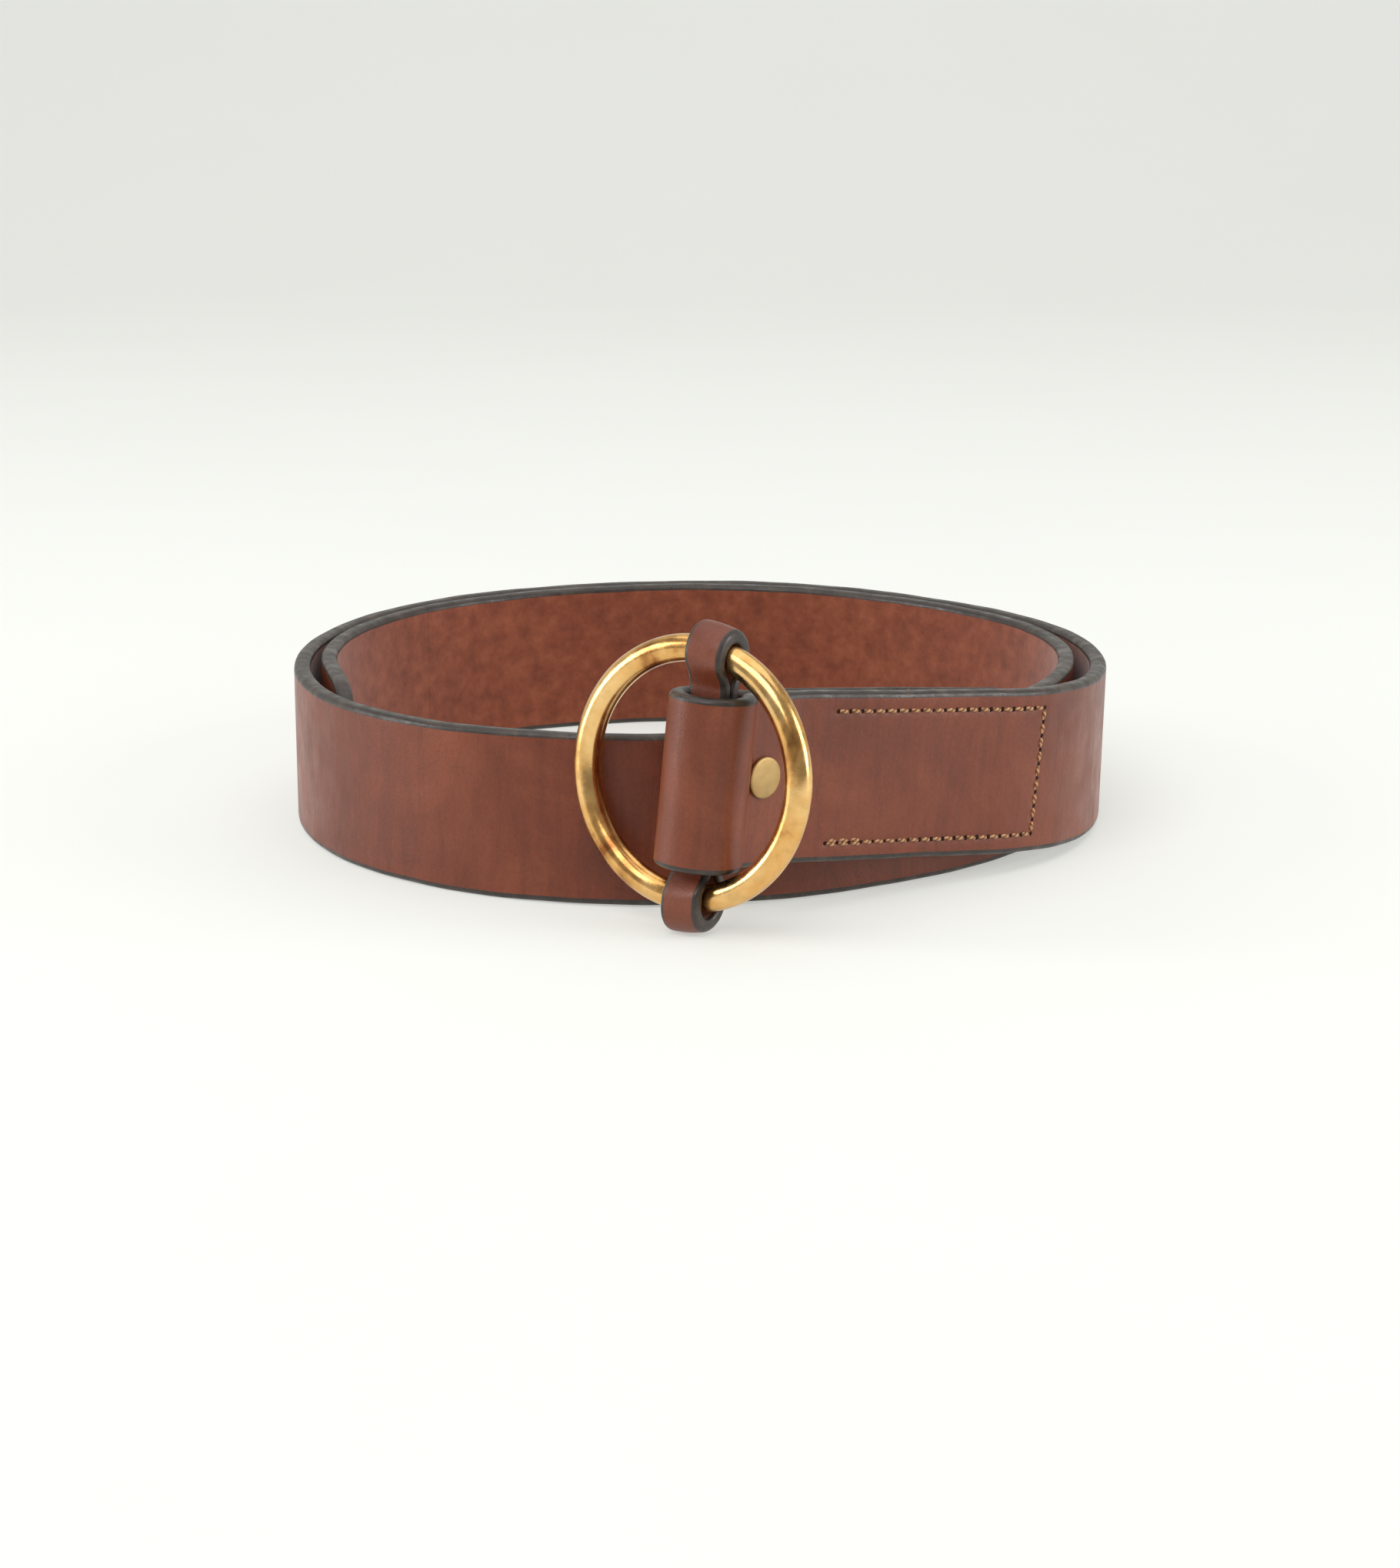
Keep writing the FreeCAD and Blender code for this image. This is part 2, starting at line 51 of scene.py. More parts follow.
# The strap and its path, as in the CAD source
HALF_WIDTH = 19.0
HALF_THICKNESS = 2.0
EDGE_BEVEL = 0.8
COIL_CENTRE = np.array([0.0, 15.9, 0.0])
COIL_RADIUS = 95.2
COIL_OVAL = 1.2
BULGES = [(-32, 20, 1.7), (45, 25, -2.8), (140, 25, 1.3), (218, 26, 2.5)]
INNER_TURN = [(232, 0.0), (310, 10.0), (322, 10.0), (395, 4.4), (520, 4.4)]
BUCKLE_FLEX_ANGLE = -31.0
TAIL_FLEX_ANGLE = 512.0
CLIMB = math.radians(6.5)
LIFT_AT_FLEX = 2.75
LIFT_FADE_ANGLE = 54.0
LIFT_FADE_POWER = 4
LEANS = [(268, 27, 8.5), (0, 35, -1.4)]
TANGENT_STEP = 0.05     # degrees
BEND_RADIUS = 58.0
BEND_TURN = math.radians(24.7)
PANEL_LENGTH = 53.0
FLARE_LENGTH = 9.0
FLARE_TURN = math.radians(11.0)
RIVET_AFTER_FLARE = 4.6
RIVET_TO_FOLD = 12.3
FOLD_RADIUS = 7.75
FOLD_HALF_THICKNESS = 1.75
FOLD_OFFSET = 3.24
FOLD_FILLET = 4.0
LAYER_GAP = 0.15
BACK_LAYER_END = 25.0
BACK_LAYER_THICKNESS = [(25.0, 0.9), (45.0, 2.2), (78.0, 2.3), (90.0, 2.6)]
TAIL_BEND_LENGTH = 58.7
TAIL_BEND_TURN = math.radians(41.0)
TAIL_STRAIGHT = 35.5
TIP_LENGTH = 19.0
TIP_FULLNESS = 0.6

# Fittings, as in the CAD source
RIVET_HEAD_RADIUS = 4.6
RIVET_HEAD_HEIGHT = 0.9
RIVET_RISE = 0.9
STITCH_LENGTH = 3.27
STITCH_START = 12.6
STITCH_COUNT_LONG = 18
STITCH_COUNT_ACROSS = 9
STITCH_ROW_TOP = 14.7
LINK_HALF_WIDTH = 4.6
LINK_THICKNESS = 3.0
LINK_HALF_SLIT = 0.15
LINK_STRAIGHT = 19.3
LINK_TO_WIRE = 3.35
LOOP_SHOULDER = 0.6
LOOP_SAG = 1.1
LINK_RISE = 0.8
LINK_YAW = math.radians(-33.4)
RING_RADIUS = 27.0
RING_WIRE_RADIUS = 3.0
RING_OFFSET = -3.8

# Looks
EDGE_ROUND = 1.35
LINK_EDGE_ROUND = 1.05
EDGE_WANDER = 0.12      # how far the strap's edges stray from straight
FACE_WANDER = 0.06
FLEX_EASE = 14.0        # length over which the buckle end takes up the coil's own lean
FURROW_DEPTH = 0.22
FURROW_SPREAD = 0.75
STITCH_GAP = 0.5        # thread hidden in the leather at each end of a stitch
STITCH_SWELL = 0.46
BACK_TACKED = 3         # stitches sewn twice where the row ends
THREAD_SINK = 0.16
UP = np.array([0.0, 0.0, 1.0])


def unit(v):
    v = np.asarray(v, float)
    return v / np.linalg.norm(v, axis=-1, keepdims=True)


def smooth(t):
    t = np.clip(t, 0, 1)
    return t * t * (3 - 2 * t)


def eased(knots, x):
    """A smooth curve through (x, value) knots, flat before the first and after the last."""
    if x <= knots[0][0]:
        return knots[0][1]
    for (x0, y0), (x1, y1) in zip(knots, knots[1:]):
        if x < x1:
            return y0 + (y1 - y0) * smooth((x - x0) / (x1 - x0))
    return knots[-1][1]


def bumps(table, angle):
    total = 0
    for at, spread, height in table:
        away = (angle - at + 180) % 360 - 180
        total += height * math.exp(-(away / spread) ** 2)
    return total


def spaced(first, last, step):
    return np.linspace(first, last, max(round(abs(last - first) / step), 1) + 1)


# ---- Paths of the leather ----

def coil_plan(angle):
    a = math.radians(angle)
    radius = COIL_RADIUS + COIL_OVAL * math.cos(2 * a) + bumps(BULGES, angle)
    radius -= eased(INNER_TURN, angle)
    return COIL_CENTRE + radius * np.array([math.cos(a), math.sin(a), 0])


def coil_lift(angle):
    faded = min(max((angle - BUCKLE_FLEX_ANGLE) / LIFT_FADE_ANGLE, -1), 1)
    return LIFT_AT_FLEX * (1 - faded) ** LIFT_FADE_POWER


def coil_frame(angle):
    """Centre, direction across the width and outward direction of the coiled strap."""
    before, after = angle - TANGENT_STEP, angle + TANGENT_STEP
    before = coil_plan(before) + UP * coil_lift(before)
    after = coil_plan(after) + UP * coil_lift(after)
    along = unit(after - before)
    level_out = unit([along[1], -along[0], 0])
    upright = np.cross(level_out, along)
    lean = math.radians(bumps(LEANS, angle))
    across = upright * math.cos(lean) - level_out * math.sin(lean)
    outward = level_out * math.cos(lean) + upright * math.sin(lean)
    height = HALF_WIDTH * across[2] + (HALF_THICKNESS - EDGE_BEVEL) * abs(outward[2])
    return coil_plan(angle) + UP * (coil_lift(angle) + height), across, outward


def heading_at(angle):
    return unit(coil_plan(angle + TANGENT_STEP) - coil_plan(angle - TANGENT_STEP))


def turned(v, angle):
    c, s = math.cos(angle), math.sin(angle)
    return np.array([v[0] * c - v[1] * s, v[0] * s + v[1] * c, v[2]])


PANEL_TRAVEL = turned(heading_at(BUCKLE_FLEX_ANGLE), -BEND_TURN)
TO_BUCKLE = unit(-math.cos(CLIMB) * PANEL_TRAVEL + math.sin(CLIMB) * UP)
OUT = np.array([PANEL_TRAVEL[1], -PANEL_TRAVEL[0], 0])
ACROSS = np.cross(TO_BUCKLE, OUT)
FLEX_POINT = coil_plan(BUCKLE_FLEX_ANGLE) + UP * (LIFT_AT_FLEX + HALF_WIDTH * math.cos(CLIMB))


def in_place(u, n, w):
    return FLEX_POINT + TO_BUCKLE * u + OUT * n + ACROSS * w


BEND_LENGTH = BEND_RADIUS * BEND_TURN
FLARE_START = BEND_LENGTH + PANEL_LENGTH
FLARE_END = FLARE_START + FLARE_LENGTH
RIVET_AT = FLARE_END + RIVET_AFTER_FLARE
FOLD_REACH = FOLD_RADIUS + FOLD_FILLET
FRONT_FILLET_TURN = math.acos((FOLD_OFFSET + FOLD_FILLET) / FOLD_REACH)
MAIN_END = RIVET_AT + RIVET_TO_FOLD - FOLD_REACH * math.sin(FRONT_FILLET_TURN)


def main_layer(s):
    """Middle of the main layer at a distance s from the flex line: u, n and its heading."""
    if s < BEND_LENGTH:
        left = BEND_TURN - s / BEND_RADIUS
        u = BEND_RADIUS * (math.sin(BEND_TURN) - math.sin(left))
        n = BEND_RADIUS * (math.cos(left) - math.cos(BEND_TURN))
        return u, n, left
    u = BEND_RADIUS * math.sin(BEND_TURN)
    n = BEND_RADIUS * (1 - math.cos(BEND_TURN))
    if s < FLARE_START:
        return u + s - BEND_LENGTH, n, 0
    radius = FLARE_LENGTH / FLARE_TURN
    turn = min(s - FLARE_START, FLARE_LENGTH) / radius
    on = max(s - FLARE_END, 0)
    u += PANEL_LENGTH + radius * math.sin(turn) + on * math.cos(turn)
    n += radius * (1 - math.cos(turn)) + on * math.sin(turn)
    return u, n, turn


def beside_main(s, distance):
    u, n, heading = main_layer(s)
    return u - distance * math.sin(heading), n + distance * math.cos(heading)


def fold_centre():
    u, n = beside_main(RIVET_AT, -FOLD_OFFSET)
    return u + RIVET_TO_FOLD * math.cos(FLARE_TURN), n + RIVET_TO_FOLD * math.sin(FLARE_TURN)


def back_layer_offset(s):
    near = HALF_THICKNESS + LAYER_GAP
    return near, near + eased(BACK_LAYER_THICKNESS, s)


BACK_MIDDLE = sum(back_layer_offset(RIVET_AT)) / 2 - FOLD_OFFSET
BACK_FILLET_TURN = math.acos((BACK_MIDDLE + FOLD_FILLET) / FOLD_REACH)
BACK_START = RIVET_AT + RIVET_TO_FOLD - FOLD_REACH * math.sin(BACK_FILLET_TURN)


def fold_stations():
    """Middle of the leather round the fold: (u, n), outward angle and half thickness."""
    cu, cn = fold_centre()
    back_half = eased(BACK_LAYER_THICKNESS, RIVET_AT) / 2
    path = []
    for t in np.linspace(0, 1, 9)[1:-1]:
        a = FRONT_FILLET_TURN * t
        x = -FOLD_REACH * math.sin(FRONT_FILLET_TURN) + FOLD_FILLET * math.sin(a)
        y = FOLD_OFFSET + FOLD_FILLET * (1 - math.cos(a))
        half = HALF_THICKNESS + (FOLD_HALF_THICKNESS - HALF_THICKNESS) * t
        path.append((x, y, math.pi / 2 + a, half))
    for a in np.linspace(math.pi / 2 + FRONT_FILLET_TURN, -math.pi / 2 - BACK_FILLET_TURN, 61):
        path.append((FOLD_RADIUS * math.cos(a), FOLD_RADIUS * math.sin(a), a, FOLD_HALF_THICKNESS))
    for t in np.linspace(0, 1, 9)[1:-1]:
        a = BACK_FILLET_TURN * (1 - t)
        x = -FOLD_REACH * math.sin(BACK_FILLET_TURN) + FOLD_FILLET * math.sin(a)
        y = -BACK_MIDDLE - FOLD_FILLET * (1 - math.cos(a))
        half = FOLD_HALF_THICKNESS + (back_half - FOLD_HALF_THICKNESS) * t
        path.append((x, y, -math.pi / 2 - a, half))
    c, s = math.cos(FLARE_TURN), math.sin(FLARE_TURN)
    return [((cu + x * c - y * s, cn + x * s + y * c), a + FLARE_TURN, half)
            for x, y, a, half in path]


def panel_frame(s):
    """Frame of the main layer, eased into the coil's own frame near the flex line."""
    u, n, heading = main_layer(s)
    centre = in_place(u, n, 0)
    outward = OUT * math.cos(heading) - TO_BUCKLE * math.sin(heading)
    share = 1 - smooth(s / FLEX_EASE)
    at_flex = coil_frame(BUCKLE_FLEX_ANGLE)
    own = (in_place(0, 0, 0), ACROSS, OUT * math.cos(BEND_TURN) - TO_BUCKLE * math.sin(BEND_TURN))
    centre = centre + (at_flex[0] - own[0]) * share
    across = unit(ACROSS + (at_flex[1] - own[1]) * share)
    outward = unit(outward + (at_flex[2] - own[2]) * share)
    return centre, across, outward


def tail_frame(s):
    """Centre, direction across and outward direction of the tail beyond its flex line."""
    travel = heading_at(TAIL_FLEX_ANGLE)
    side = np.array([-travel[1], travel[0], 0])
    radius = TAIL_BEND_LENGTH / TAIL_BEND_TURN
    turn = min(s, TAIL_BEND_LENGTH) / radius
    way = travel * math.cos(turn) + side * math.sin(turn)
    place = coil_plan(TAIL_FLEX_ANGLE) + UP * HALF_WIDTH
    place = place + travel * (radius * math.sin(turn)) + side * (radius * (1 - math.cos(turn)))
    place = place + way * max(s - TAIL_BEND_LENGTH, 0)
    return place, UP, np.array([way[1], -way[0], 0])


# ---- Meshes ----

def grid_normals(grid, closed):
    """Normals of a grid of points (station, point round the section, xyz)."""
    along = np.gradient(grid, axis=0)
    if closed:
        along = (np.roll(grid, -1, 0) - np.roll(grid, 1, 0)) / 2
    around = (np.roll(grid, -1, 1) - np.roll(grid, 1, 1)) / 2
    normals = np.cross(around, along)
    length = np.linalg.norm(normals, axis=-1, keepdims=True)
    return normals / np.maximum(length, 1e-9)


def grid_mesh(name, grid, lengths, zones, materials, closed=False, keep=None, cap_zone=0):
    """A mesh over a grid of sections, facing outward, with smooth normals and lengths for UV.

    Stations outside keep only steady the normals at its ends.
    """
    normals = grid_normals(grid, closed)
    middle = grid.mean(1, keepdims=True)
    if (normals * (grid - middle)).sum() < 0:
        grid = grid[:, ::-1]
        normals = grid_normals(grid, closed)
        zones = [zones[(-2 - j) % len(zones)] for j in range(len(zones))]
    if keep:
        grid, normals, lengths = (x[slice(*keep)] for x in (grid, normals, lengths))
    stations, around = grid.shape[:2]
    steps = np.linalg.norm(grid - np.roll(grid, -1, 1), axis=-1).mean(0)
    girth = np.concatenate([[0], np.cumsum(steps)]) * MM
    lengths = np.array(lengths) * MM
    faces, slots, uvs, loop_normals = [], [], [], []
    for i in range(stations if closed else stations - 1):
        k = (i + 1) % stations
        for j in range(around):
            m = (j + 1) % around
            faces.append([i * around + j, i * around + m, k * around + m, k * around + j])
            slots.append(zones[j])
            low, high = lengths[i], lengths[i + 1]
            uvs += [(low, girth[j]), (low, girth[j + 1]), (high, girth[j + 1]), (high, girth[j])]
            loop_normals += [normals[i, j], normals[i, m], normals[k, m], normals[k, j]]
    if not closed:
        for i, inner, order in ((0, 1, -1), (stations - 1, stations - 2, 1)):
            corners = list(range(around))[::order]
            faces.append([i * around + j for j in corners])
            slots.append(cap_zone)
            uvs += [(lengths[i] + 0.001, girth[j]) for j in corners]
            loop_normals += [unit(grid[i].mean(0) - grid[inner].mean(0))] * around
    mesh = bpy.data.meshes.new(name)
    mesh.from_pydata((grid * MM).reshape(-1, 3).tolist(), [], faces)
    mesh.uv_layers.new(name="UVMap")
    mesh.uv_layers[0].data.foreach_set("uv", np.array(uvs, np.float32).ravel())
    for m in materials:
        mesh.materials.append(m)
    mesh.polygons.foreach_set("material_index", np.array(slots, np.int32))
    mesh.polygons.foreach_set("use_smooth", np.ones(len(faces), bool))
    mesh.normals_split_custom_set(np.array(loop_normals).tolist())
    mesh.update()
    obj = bpy.data.objects.new(name, mesh)
    bpy.context.scene.collection.objects.link(obj)
    return obj


def band_profile(half_width, half_thickness, across_steps):
    """Section of the leather, (w, n) points and a zone per strip: 0 grain, 1 edge, 2 flesh."""
    r = min(EDGE_ROUND, half_thickness * 0.96, half_width * 0.5)
    corner = [(math.sin(a) * r, math.cos(a) * r) for a in np.linspace(0, math.pi / 2, 6)]
    flat = np.linspace(r - half_width, half_width - r, across_steps + 1)
    w0, t0 = half_width - r, half_thickness - r
    points = [(w, half_thickness) for w in flat[:-1]]
    points += [(w0 + x, t0 + y) for x, y in corner]
    points += [(w0 + x, -t0 - y) for x, y in corner[::-1]]
    points += [(w, -half_thickness) for w in flat[::-1][1:-1]]
    points += [(-w0 - x, -t0 - y) for x, y in corner]
    points += [(-w0 - x, t0 + y) for x, y in corner[::-1][:-1]]
    edge = 2 * len(corner) - 1
    zones = [0] * across_steps + [1] * edge + [2] * across_steps + [1] * edge
    return np.array(points), zones


def ripple(s, w, seed):
    """Slow unevenness of worked leather, from -1 to 1."""
    a = math.sin(s * 0.071 + seed) + math.sin(s * 0.163 + 1.7 * seed + w * 0.05)
    return (a + 0.6 * math.sin(s * 0.39 + w * 0.11 + 2.3 * seed)) / 2.6


def strap_sections(stations, across_steps, shaping=None):
    """Grid of the strap. A station is (centre, across, outward, half width, half thickness, s)."""
    grid = []
    for centre, across, outward, half_width, half_thickness, s in stations:
        profile, zones = band_profile(half_width, half_thickness, across_steps)
        section = []
        for w, n in profile:
            w += EDGE_WANDER * ripple(s, 0, 1.3 if w > 0 else 4.1) * abs(w) / HALF_WIDTH
            n += shaping(s, w, n) if shaping else 0.0
            section.append(centre + across * w + outward * n)
        grid.append(section)
    return np.array(grid), zones


def strap_piece(name, stations, keep, across_steps=24, shaping=None):
    """A stretch of the strap. Stations outside keep only steady the normals at its ends."""
    grid, zones = strap_sections(stations, across_steps, shaping)
    centres = np.array([station[0] for station in stations])
    steps = np.linalg.norm(np.diff(centres, axis=0), axis=1)
    lengths = stations[0][5] + np.concatenate([[0], np.cumsum(steps)])
    return grid_mesh(name, grid, lengths, zones, STRAP, keep=keep, cap_zone=1)


# ---- Materials ----

def socket(node, name):
    return next(i for i in node.inputs if i.name == name and i.enabled)


class Shader:
    """A node material with one Principled shader, and short calls to build what feeds it."""

    def __init__(self, name, **settings):
        self.material = bpy.data.materials.new(name)
        self.material.use_nodes = True
        self.tree = self.material.node_tree
        self.main = self.tree.nodes["Principled BSDF"]
        for key, value in settings.items():
            self.main.inputs[key.replace("_", " ")].default_value = value
        self.uv = self.tree.nodes.new("ShaderNodeUVMap").outputs["UV"]
        self.place = self.tree.nodes.new("ShaderNodeTexCoord").outputs["Object"]
        self.bump = None

    def link(self, source, target):
        self.tree.links.new(source, target)

    def node(self, kind, **settings):
        n = self.tree.nodes.new("ShaderNode" + kind)
        for key, value in settings.items():
            setattr(n, key, value)
        return n

    def stretched(self, source, scale):
        n = self.node("Mapping")
        n.inputs["Scale"].default_value = scale
        self.link(source, n.inputs["Vector"])
        return n.outputs["Vector"]

    def noise(self, scale, detail=4.0, rough=0.55, source=None, distort=0.0):
        """Noise at a scale in cells per metre: one number, or three for stretched noise."""
        n = self.node("TexNoise")
        source = source or self.place
        if isinstance(scale, tuple):
            source = self.stretched(source, scale)
            scale = 1.0
        n.inputs["Scale"].default_value = scale
        n.inputs["Detail"].default_value = detail
        n.inputs["Roughness"].default_value = rough
        n.inputs["Distortion"].default_value = distort
        self.link(source, n.inputs["Vector"])
        return n.outputs["Fac"]

    def cells(self, scale):
        n = self.node("TexVoronoi", feature="F1")
        n.inputs["Scale"].default_value = scale
        self.link(self.place, n.inputs["Vector"])
        return n.outputs["Distance"]

    def ramp(self, fac, stops):
        """Colours or greys by a factor."""
        n = self.node("ValToRGB")
        elements = n.color_ramp.elements
        while len(elements) < len(stops):
            elements.new(0.5)
        for e, (at, colour) in zip(elements, stops):
            e.position = at
            e.color = (colour,) * 3 + (1,) if isinstance(colour, float) else (*colour, 1)
        self.link(fac, n.inputs["Fac"])
        return n.outputs["Color"]

    def mix(self, fac, a, b, blend="MIX"):
        n = self.node("Mix", data_type="RGBA", blend_type=blend)
        for name, value in (("Factor", fac), ("A", a), ("B", b)):
            target = socket(n, name)
            if isinstance(value, (int, float)):
                target.default_value = value
            elif isinstance(value, tuple):
                target.default_value = (*value, 1)
            else:
                self.link(value, target)
        return next(o for o in n.outputs if o.enabled)

    def colour(self, source):
        self.link(source, self.main.inputs["Base Color"])

    def roughness(self, source):
        self.link(source, self.main.inputs["Roughness"])

    def relief(self, height, depth, strength=1.0):
        """Adds a bump of a depth in metres."""
        n = self.node("Bump")
        n.inputs["Distance"].default_value = depth
        n.inputs["Strength"].default_value = strength
        self.link(height, n.inputs["Height"])
        if self.bump:
            self.link(self.bump, n.inputs["Normal"])
        self.bump = n.outputs["Normal"]
        self.link(self.bump, self.main.inputs["Normal"])


def grain_leather(name, dark, middle, light, streaks=1.0):
    m = Shader(name, Roughness=0.4, Specular_IOR_Level=0.4, Coat_Weight=0.1, Coat_Roughness=0.22)
    clouds = m.noise(30.0, 4.0, 0.6, distort=0.5)
    streak = m.noise((260.0, 34.0, 34.0), 5.0, 0.65, m.uv, 0.8)
    fine = m.noise(1300.0, 4.0, 0.65)
    base = m.ramp(clouds, [(0.3, dark), (0.5, middle), (0.72, light)])
    veins = m.ramp(streak, [(0.36, 0.68), (0.52, 1.0), (0.7, 1.16)])
    tone = m.mix(0.4 * streaks, base, veins, "MULTIPLY")
    speck = m.ramp(fine, [(0.3, 0.72), (0.6, 1.05)])
    m.colour(m.mix(0.55, tone, speck, "MULTIPLY"))
    m.roughness(m.ramp(m.noise(150.0, 4.0), [(0.3, 0.34), (0.7, 0.5)]))
    m.relief(m.cells(1700.0), 0.00005, 0.5)
    m.relief(m.noise(520.0, 5.0, 0.65), 0.0001, 0.6)
    m.relief(streak, 0.0002 * streaks, 0.6)
    return m.material


def flesh_leather(name):
    m = Shader(name, Roughness=0.8, Specular_IOR_Level=0.25, Sheen_Weight=0.25, Sheen_Roughness=0.5)
    mottle = m.noise(240.0, 5.0, 0.65)
    clouds = m.noise(30.0, 3.0)
    tones = [(0.3, (0.15, 0.033, 0.013)), (0.5, (0.21, 0.05, 0.021)), (0.72, (0.27, 0.075, 0.034))]
    base = m.ramp(mottle, tones)
    m.colour(m.mix(0.5, base, m.ramp(clouds, [(0.3, 0.88), (0.7, 1.05)]), "MULTIPLY"))
    m.relief(m.noise(1100.0, 4.0, 0.7), 0.00012, 0.8)
    m.relief(mottle, 0.0001, 0.5)
    return m.material


def painted_edge(name):
    m = Shader(name, Roughness=0.4, Specular_IOR_Level=0.5, Coat_Weight=0.15, Coat_Roughness=0.35)
    blotch = m.noise(170.0, 4.0, 0.6)
    pores = m.ramp(m.cells(620.0), [(0.08, 0.35), (0.3, 1.0)])
    tones = [(0.3, (0.014, 0.009, 0.007)), (0.55, (0.034, 0.022, 0.016)), (0.78, (0.085, 0.058, 0.042))]
    base = m.ramp(blotch, tones)
    m.colour(m.mix(0.7, base, pores, "MULTIPLY"))
    m.roughness(m.ramp(m.noise(300.0, 4.0), [(0.3, 0.3), (0.7, 0.6)]))
    m.relief(m.noise(420.0, 5.0, 0.65), 0.0002, 0.7)
    m.relief(pores, 0.00008, 0.6)
    return m.material


def raw_seam(name):
    m = Shader(name, Roughness=0.9, Specular_IOR_Level=0.2)
    fibres = m.noise((900.0, 200.0, 200.0), 5.0, 0.7, m.uv)
    tones = [(0.3, (0.13, 0.07, 0.04)), (0.5, (0.33, 0.2, 0.12)), (0.7, (0.52, 0.36, 0.24))]
    m.colour(m.ramp(fibres, tones))
    m.relief(fibres, 0.0003, 0.9)
    return m.material


def waxed_thread(name):
    m = Shader(name, Roughness=0.55, Specular_IOR_Level=0.4)
    wave = m.node("TexWave", wave_type="BANDS", bands_direction="DIAGONAL")
    wave.inputs["Scale"].default_value = 420.0
    wave.inputs["Distortion"].default_value = 1.5
    m.link(m.uv, wave.inputs["Vector"])
    twist = wave.outputs["Fac"]
    tones = [(0.2, (0.2, 0.085, 0.036)), (0.6, (0.42, 0.21, 0.095)), (0.9, (0.58, 0.33, 0.165))]
    m.colour(m.ramp(twist, tones))
    m.relief(twist, 0.0001, 0.7)
    return m.material


def brass(name, dull):
    m = Shader(name, Metallic=1.0, Roughness=0.3)
    patches = m.noise(55.0, 4.0, 0.6, distort=0.4)
    spots = m.noise(260.0, 4.0, 0.6)
    if dull:
        tones = [(0.3, (0.34, 0.21, 0.09)), (0.55, (0.52, 0.35, 0.15)), (0.8, (0.64, 0.46, 0.22))]
        rough = [(0.3, 0.38), (0.7, 0.55)]
    else:
        tones = [(0.34, (0.33, 0.12, 0.035)), (0.46, (0.78, 0.43, 0.14)), (0.68, (0.95, 0.66, 0.3))]
        rough = [(0.3, 0.14), (0.7, 0.3)]
    base = m.ramp(patches, tones)
    m.colour(m.mix(0.35, base, m.ramp(spots, [(0.3, 0.55), (0.55, 1.0)]), "MULTIPLY"))
    m.roughness(m.ramp(spots, rough))
    m.relief(m.noise(900.0, 3.0), 0.00003, 0.6)
    m.relief(m.noise(160.0, 2.0), 0.0001, 0.3)
    return m.material


# Near-black awl holes: this colour is painted shade, standing in for the depth of each hole.
def paint_hole_shade(name):
    m = Shader(name, Roughness=0.9, Specular_IOR_Level=0.1)
    m.colour(m.ramp(m.noise(900.0), [(0.3, (0.012, 0.006, 0.004)), (0.7, (0.04, 0.018, 0.011))]))
    return m.material


STRAP_TONES = ((0.125, 0.024, 0.008), (0.17, 0.035, 0.012), (0.23, 0.055, 0.021))
LINK_TONES = ((0.12, 0.025, 0.01), (0.165, 0.037, 0.015), (0.22, 0.057, 0.024))
GRAIN = grain_leather("strap_grain", *STRAP_TONES)
LINK_GRAIN = grain_leather("link_grain", *LINK_TONES, 0.4)
FLESH = flesh_leather("strap_flesh")
EDGE = painted_edge("edge_paint")
SEAM = raw_seam("seam_fibres")
THREAD = waxed_thread("thread_waxed")
RING_BRASS = brass("ring_brass", False)
RIVET_BRASS = brass("rivet_brass", True)
# Painted shade for the awl holes.
HOLE_SHADE = paint_hole_shade("awl_hole_painted_shade")
STRAP = [GRAIN, EDGE, FLESH]


# ---- Strap: coil, buckle end and tail, with a joining piece at each flex line ----

FLEX_BEFORE = 10.0      # degrees of the coil in each flexing piece
FLEX_AFTER = 6.0        # millimetres of the buckle end in its flexing piece
TAIL_FLEX_AFTER = 12.0


def coil_stations(first, last, step=0.75):
    found = []
    for angle in spaced(first, last, step):
        centre, across, outward = coil_frame(angle)
        s = (angle - BUCKLE_FLEX_ANGLE) * math.radians(1) * COIL_RADIUS
        found.append((centre, across, outward, HALF_WIDTH, HALF_THICKNESS, s))
    return found


def panel_stations(first, last, step=0.6):
    return [(*panel_frame(s), HALF_WIDTH, HALF_THICKNESS, s) for s in spaced(first, last, step)]


def make_coil():
    first, last = BUCKLE_FLEX_ANGLE + FLEX_BEFORE, TAIL_FLEX_ANGLE - FLEX_BEFORE
    step = 0.75
    stations = coil_stations(first - 2 * step, last + 2 * step, step)
    coil = strap_piece("strap_coil_leather", stations, (2, len(stations) - 2))
    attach(coil, "coil")
    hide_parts("strap_coil")


def make_buckle_flex():
    stations = coil_stations(BUCKLE_FLEX_ANGLE + FLEX_BEFORE + 1.5, BUCKLE_FLEX_ANGLE, 0.75)
    flipped = [(c, a, o, w, t, -s) for c, a, o, w, t, s in stations[:-1]]
    onward = panel_stations(0, FLEX_AFTER + 1.2)
    everything = flipped + onward
    flex = strap_piece("strap_buckle_flex", everything, (2, len(everything) - 2))
    start = coil_frame(BUCKLE_FLEX_ANGLE + FLEX_BEFORE - 1)[0] * MM
    end = panel_frame(FLEX_AFTER - 1)[0] * MM
    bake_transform(flex)


